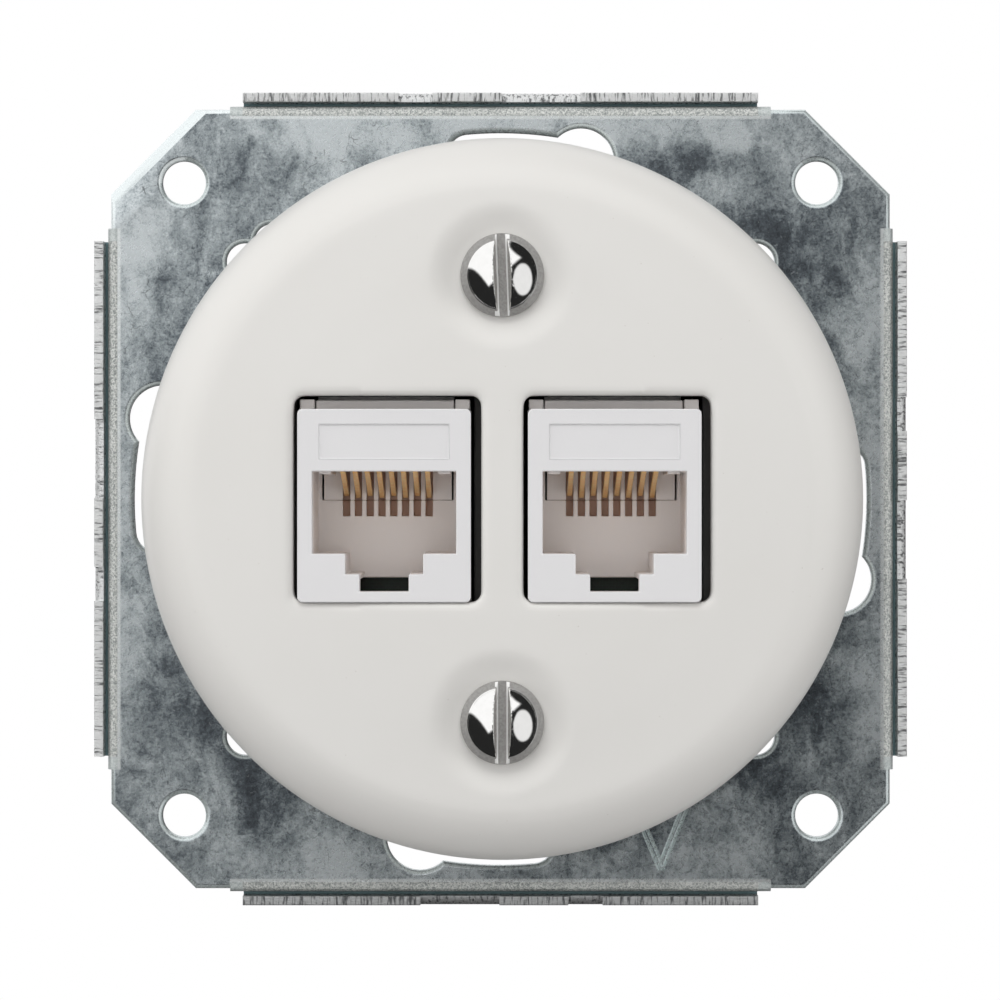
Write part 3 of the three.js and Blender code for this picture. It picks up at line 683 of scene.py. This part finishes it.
def moulded(name, colour, roughness, grain=0.008, tint=0.05, inside=None, patch=None):
    """A moulded plastic: faint flow marks and a fine spark-eroded grain.

    It may be painted lighter and warmer deep inside, painted light, and have a patch given as (place,
    colour)."""
    finish = Finish(name)
    here = finish.places()
    flow = finish.noise(here, 0.25, 3.0, 0.5, 0.5)
    fine = finish.noise(here, 9.0, 2.0, 0.6)
    darker = tuple(c * (1 - tint) for c in colour)
    shade = finish.blend(flow, darker, colour)
    if inside:
        # painted light: from about 0.9 mm behind the cover's face the colour turns to a lighter, warmer
        # white
        face = cover_low.y / mm
        depth = finish.axes(here)[1]
        shade = finish.blend(depth.ramp(face + 0.9, face + 2.4), shade, inside)
    if patch:
        place, patch_colour = patch
        shade = finish.blend(place(finish, here), shade, patch_colour)
    finish.surface(
        Base_Color=shade,
        Roughness=fine * 0.12 + (roughness - 0.06) + flow * 0.04,
    )
    finish.bump(fine * 0.8 + flow * 0.2, grain)
    return finish.material


def plated(name, dark, light, roughness, scale=1.0, grain=0.006, metallic=1.0):
    """A plated or bare metal with faint stains and fine drawing marks."""
    finish = Finish(name)
    here = finish.places()
    stain = finish.noise(here, 0.8 * scale, 3.0, 0.55)
    marks = finish.noise(finish.places((6, 1, 6)), 1.6 * scale, 3.0, 0.6)
    finish.surface(
        Base_Color=finish.blend(stain.ramp(0.3, 0.7), dark, light),
        Metallic=metallic,
        Roughness=stain * 0.12 + marks * 0.08 + roughness - 0.1,
    )
    finish.bump(marks, grain)
    return finish.material


black = moulded("black_moulding", (0.088, 0.086, 0.083), 0.48, 0.012, 0.2)
softened("jack_carrier", "black_jack_carrier", black, 0.18 * mm)
for number in range(1, 5):
    softened(f"carrier_rivet_{number}", f"rivet_{number}", zinc, 0.06 * mm)
turned_brass = plated("turned_brass", (0.50, 0.36, 0.14), (0.70, 0.53, 0.24), 0.32)
for end in ("top", "bottom"):
    softened(f"threaded_insert_{end}", f"brass_insert_{end}", turned_brass, 0.12 * mm)

# ---- Jacks ------------------------------------------------------------------------------------
# Two white snap-in jacks. Each has a housing with a stepped port, a latch on top, a comb
# insert that guides eight gold-plated wires, and behind it a board, a terminal block with
# eight forked blades, and a push-on cap.

jack_middle, jack_half_pitch = -0.09, 9.6  # in millimetres, like every place in a material
comb_middle, comb_half_high, comb_half_wide = 1.01, 2.54, 4.0
comb_from, comb_to = 12.8, 14.4  # behind the jack's face


def in_comb(finish, here):
    """The comb slots behind each port, which show brown."""
    x, y, z = finish.axes(here)
    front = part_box("left_jack_housing")[0].y / mm
    beside = abs(abs(x - jack_middle) - jack_half_pitch)
    comb = beside.ramp(comb_half_wide + 0.1, comb_half_wide)
    comb = comb * abs(z - comb_middle).ramp(comb_half_high + 0.06, comb_half_high)
    comb = comb * y.ramp(front + comb_from, front + comb_from + 0.4)
    return comb * y.ramp(front + comb_to, front + comb_to - 0.1)


# inside is the white painted lighter and warmer deep behind the face, painted light; brown is the comb
# slots' colour
inside, brown = (0.985, 0.945, 0.928), (0.74, 0.50, 0.38)
jack_white = (0.83, 0.825, 0.835)
white = moulded("white_moulding", jack_white, 0.40, 0.006, 0.03, inside, (in_comb, brown))
gold = plated("gold_plated_wire", (1.0, 0.58, 0.22), (1.0, 0.70, 0.32), 0.40, 2.0, 0.002, 0.2)
tinned = plated("tinned_bronze", (0.50, 0.50, 0.49), (0.74, 0.74, 0.72), 0.34)


def board_resist():
    """Green solder resist over faint copper tracks."""
    finish = Finish("solder_resist")
    here = finish.places((1, 1, 1))
    tracks = finish.node(
        "TexBrick",
        {"offset": 0.5, "squash": 1.0},
        Vector=finish.places((1, 1, 1), (math.radians(90), 0, 0)),
        Color1=(0.006, 0.035, 0.018),
        Color2=(0.007, 0.042, 0.021),
        Mortar=(0.012, 0.062, 0.030),
        Scale=0.9,
    )
    cloud = finish.noise(here, 0.5)
    finish.surface(
        Base_Color=finish.blend(cloud * 0.3, tracks, (0.004, 0.024, 0.012)),
        Roughness=cloud * 0.1 + 0.28,
    )
    return finish.material


resist = board_resist()
for side in ("left", "right"):
    softened(f"{side}_jack_housing", f"{side}_housing", white, 0.10 * mm, 3)
    softened(f"{side}_jack_latch", f"{side}_latch", white, 0.12 * mm)
    softened(f"{side}_contact_carrier", f"{side}_comb_insert", white, 0.05 * mm)
    softened(f"{side}_circuit_board", f"{side}_board", resist, 0.06 * mm)
    softened(f"{side}_idc_block", f"{side}_terminal_block", white, 0.10 * mm)
    softened(f"{side}_wire_cap", f"{side}_cap", white, 0.12 * mm)
    for number in range(1, 9):
        softened(f"{side}_contact_{number}", f"{side}_wire_{number}", gold, 0.07 * mm)
        blade = f"{side}_idc_blade_{number}"
        softened(blade, f"{side}_blade_{number}", tinned, 0.05 * mm)

# ---- Porcelain cover --------------------------------------------------------------------------
# Pressed and fired porcelain under a clear warm glaze. The glaze rounds every edge: the rim,
# the two windows and the dishes that the screws sit in.

cover_x = 0.15 * mm  # the cover sits this far to the right of the frame's middle
cover_radius = cover_high.x - cover_x
window_at = 9.59 * mm
screw_at = 18.63 * mm


def cover_profile():
    """Half section of the shell, as radius and depth, from the inner foot round the outside."""
    face = cover_low.y
    foot = cover_high.y
    wall = 3.1 * mm
    inner = cover_radius - wall
    round_foot = 0.45 * mm
    yield inner, foot
    yield cover_radius - round_foot, foot
    yield from arc((cover_radius - round_foot, foot - round_foot), round_foot, 90, 0, 4)
    side_top, shoulder_in = 5.2 * mm, 25.2 * mm
    edge = 11.75 * mm
    for i in range(21):
        angle = math.radians(90) * i / 20
        radius = shoulder_in + (cover_radius - shoulder_in) * math.cos(angle)
        yield radius, plate_front - side_top - (edge - side_top) * math.sin(angle)
    for share in (0.8, 0.6, 0.4, 0.2, 0.0):
        drop = 0.75 * mm * share**2.6
        yield shoulder_in * share, face + drop
    yield 0.0, face + wall
    yield 20 * mm, face + wall + 0.2 * mm
    yield from arc((inner - 5 * mm, face + wall + 5.5 * mm), 5 * mm, -90, 0, 8)


def spun(points, segments):
    """A profile of radius and depth turned about the outlet's axis."""
    bm = bmesh.new()
    ring = [bm.verts.new((r, y, 0)) for r, y in points]
    edges = [bm.edges.new(pair) for pair in zip(ring, ring[1:])]
    if points[0][0] > 0:
        edges.append(bm.edges.new((ring[-1], ring[0])))
    bmesh.ops.spin(
        bm, geom=ring + edges, cent=(0, 0, 0), axis=(0, 1, 0), angle=math.radians(360),
        steps=segments, use_merge=True, dvec=(0, 0, 0),
    )
    bmesh.ops.remove_doubles(bm, verts=bm.verts, dist=1e-7)
    bmesh.ops.recalc_face_normals(bm, faces=bm.faces)
    return bm


def window_cutter(centre):
    """A window with round corners, run through the face."""
    wide, high, corner = 15.67 * mm / 2, 17.25 * mm / 2, 0.7 * mm
    points = []
    for x, z, start in ((1, 1, 0), (-1, 1, 90), (-1, -1, 180), (1, -1, 270)):
        middle = (centre + x * (wide - corner), z * (high - corner))
        points += arc(middle, corner, start, start + 90, 8)
    return solid_of([(x, cover_low.y - 2 * mm, z) for x, z in points], (0, 8 * mm, 0))


def relief_cutter(turns):
    """Room for a box screw's head under the rim."""
    inner = cover_radius - 3.5 * mm
    low, high = plate_front - 2.4 * mm, plate_front + 1 * mm
    points = [(x * mm, y, inner) for x, y in ((-5, high), (-5, low), (5, low), (5, high))]
    return solid_of(points, (0, 0, 6 * mm), quarter(turns))


def porcelain_shell():
    shell = spun(list(cover_profile()), 180)
    windows = joined([window_cutter(side * window_at) for side in (-1, 1)])
    bore, start = 2.1 * mm, cover_low.y - 2 * mm
    bores = joined([pin_of(bore, start, plate_front, 0, side * screw_at) for side in (-1, 1)])
    reliefs = joined([relief_cutter(turns) for turns in range(4)])
    whole = carved(shell, ("DIFFERENCE", windows), ("DIFFERENCE", bores), ("DIFFERENCE", reliefs))
    bmesh.ops.translate(whole, verts=whole.verts, vec=(cover_x, 0, 0))
    return whole


def dish_depth(distance):
    """How far the glaze sinks at a distance from a screw's axis."""
    flat, reach, depth = 3.55 * mm, 6.3 * mm, 0.6 * mm
    if distance <= flat:
        return depth
    if distance >= reach:
        return 0.0
    share = (distance - flat) / (reach - flat)
    return depth * (1 - share * share * (3 - 2 * share))


def glazed_porcelain():
    """Warm white body under a clear glaze with the faintest ripple and a few pinholes."""
    finish = Finish("glazed_porcelain")
    here = finish.places()
    warmth = finish.noise(here, 0.06, 3.0)
    ripple = finish.noise(here, 0.35, 2.0)
    fine = finish.noise(here, 2.4, 2.0)
    colour = finish.blend(warmth, (0.80, 0.785, 0.755), (0.835, 0.825, 0.80))
    pits = finish.noise(here, 4.0, 1.0, 0.4).ramp(0.80, 0.84)
    colour = finish.blend(pits * 0.35, colour, (0.45, 0.40, 0.34))
    finish.surface(
        Base_Color=colour,
        Roughness=fine * 0.06 + 0.42,
        Coat_Weight=0.35,
        Coat_Roughness=0.28,
    )
    finish.bump(ripple * 0.8 + fine * 0.04, 0.02)
    return finish.material


porcelain = glazed_porcelain()
shell = porcelain_shell()
cover = piece_of(shell, "porcelain_cover_shell", porcelain, "cover", ["porcelain_cover"], 180)
fired = cover.modifiers.new("fired_body", "REMESH")
fired.mode = "VOXEL"
fired.voxel_size = 0.33 * mm
glaze_flow = cover.modifiers.new("glaze_flow", "SMOOTH")
glaze_flow.factor = 0.5
glaze_flow.iterations = 5
bpy.context.view_layer.update()
glazed = bpy.data.meshes.new_from_object(cover.evaluated_get(bpy.context.evaluated_depsgraph_get()))
cover.modifiers.clear()
cover.data = glazed
for vertex in glazed.vertices:
    x, y, z = vertex.co
    if y < cover_low.y + 2 * mm:
        vertex.co.y += dish_depth(min(math.hypot(x - cover_x, z - s * screw_at) for s in (-1, 1)))
glazed.shade_smooth()

soft_nylon = moulded("soft_nylon", (0.66, 0.64, 0.58), 0.5, 0.01)
for end in ("top", "bottom"):
    softened(f"screw_retainer_{end}", f"retainer_{end}", soft_nylon, 0.1 * mm)

# ---- Cover screws -----------------------------------------------------------------------------
# Raised slotted heads on a narrow flange, turned, slotted and then polished and nickel
# plated, so the slot's edges are slightly rounded and its floor stays grainy.


screw_head = 3.5 * mm
screw_dome = 2.96 * mm
head_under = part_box("cover_screw_top")[0].y + 2.0 * mm
flange_front = head_under - 0.6 * mm


def screw_profile(tip):
    """Half section of a screw, as radius and depth, from its tip round to its dome."""
    shank = 1.7 * mm
    yield 0.0, tip
    yield shank - 0.5 * mm, tip
    yield shank, tip - 0.5 * mm
    yield shank, head_under
    yield screw_head - 0.12 * mm, head_under
    yield from arc((screw_head - 0.16 * mm, head_under - 0.22 * mm), 0.16 * mm, 60, -60, 5)
    yield screw_dome + 0.12 * mm, flange_front + 0.06 * mm
    high = 1.36 * mm
    sphere = (screw_dome**2 + high**2) / (2 * high)
    widest = math.asin(screw_dome / sphere)
    for i in range(19):
        angle = widest * (1 - i / 18)
        yield sphere * math.sin(angle), flange_front - high + sphere * (1 - math.cos(angle))


def nickel_plate():
    """Nickel, mirror bright on the dome, with a satin flange and a grainy slot floor."""
    finish = Finish("polished_nickel")
    here = finish.places()
    x, y, z = finish.axes(here)
    haze = finish.noise(here, 1.6, 3.0)
    grain = finish.noise(here, 6.0, 3.0, 0.65)
    satin = y.ramp(flange_front / mm - 0.06, flange_front / mm - 0.02)
    # painted highlight: the slot's sloping walls just above its floor are painted near white
    chamfer = y.ramp(flange_front / mm + 0.03, flange_front / mm + 0.06)
    chamfer = chamfer * y.ramp(flange_front / mm + 0.27, flange_front / mm + 0.24)
    chamfer = chamfer * abs(x - cover_x / mm).ramp(0.64, 0.58)
    bright = finish.blend(haze, (0.86, 0.855, 0.84), (0.94, 0.935, 0.925))
    dull = finish.blend(grain.ramp(0.35, 0.65), (0.30, 0.293, 0.283), (0.40, 0.392, 0.38))
    dull = finish.blend(chamfer, dull, (0.97, 0.97, 0.96))
    finish.surface(
        Base_Color=finish.blend(satin, bright, dull),
        Metallic=1 - satin * 0.75,
        Roughness=haze * 0.05 + 0.05 + satin * (grain * 0.15 + 0.42),
    )
    finish.bump(grain * satin + haze * 0.25, 0.012)
    return finish.material


nickel = nickel_plate()
slot_floor = flange_front + 0.3 * mm
slot_base, slot_lip, slot_mouth = 0.31 * mm, 0.50 * mm, 0.78 * mm  # half widths, from the floor out
slot_deep = 1.85 * mm
for end, tilt in (("top", -2.0), ("bottom", 0.0)):
    node = f"cover_screw_{end}"
    low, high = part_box(node)
    middle = screw_at * (1 if end == "top" else -1)
    body = spun(list(screw_profile(high.y)), 128)
    lip = slot_floor - slot_deep
    section = [(slot_base, slot_floor), (slot_lip, flange_front), (slot_mouth, lip)]
    section = [(-x, y) for x, y in reversed(section)] + section
    slot_cut = solid_of([(x, y, -4 * mm) for x, y in section], (0, 0, 8 * mm))
    slotted = carved(body, ("DIFFERENCE", slot_cut))
    lips = [e for e in sharp_edges(slotted, 25) if all(v.co.y < slot_floor - 0.05 * mm for v in e.verts)]
    lips = [e for e in lips if all(abs(v.co.x) < 0.95 * mm for v in e.verts)]
    rounded(slotted, lips, 0.08 * mm, 3)
    place = Matrix.Translation((cover_x, 0, middle)) @ Matrix.Rotation(math.radians(tilt), 4, "Y")
    bmesh.ops.transform(slotted, matrix=place, verts=slotted.verts)
    made = piece_of(slotted, f"slotted_screw_{end}", nickel, f"{end}_screw", [node], 30)
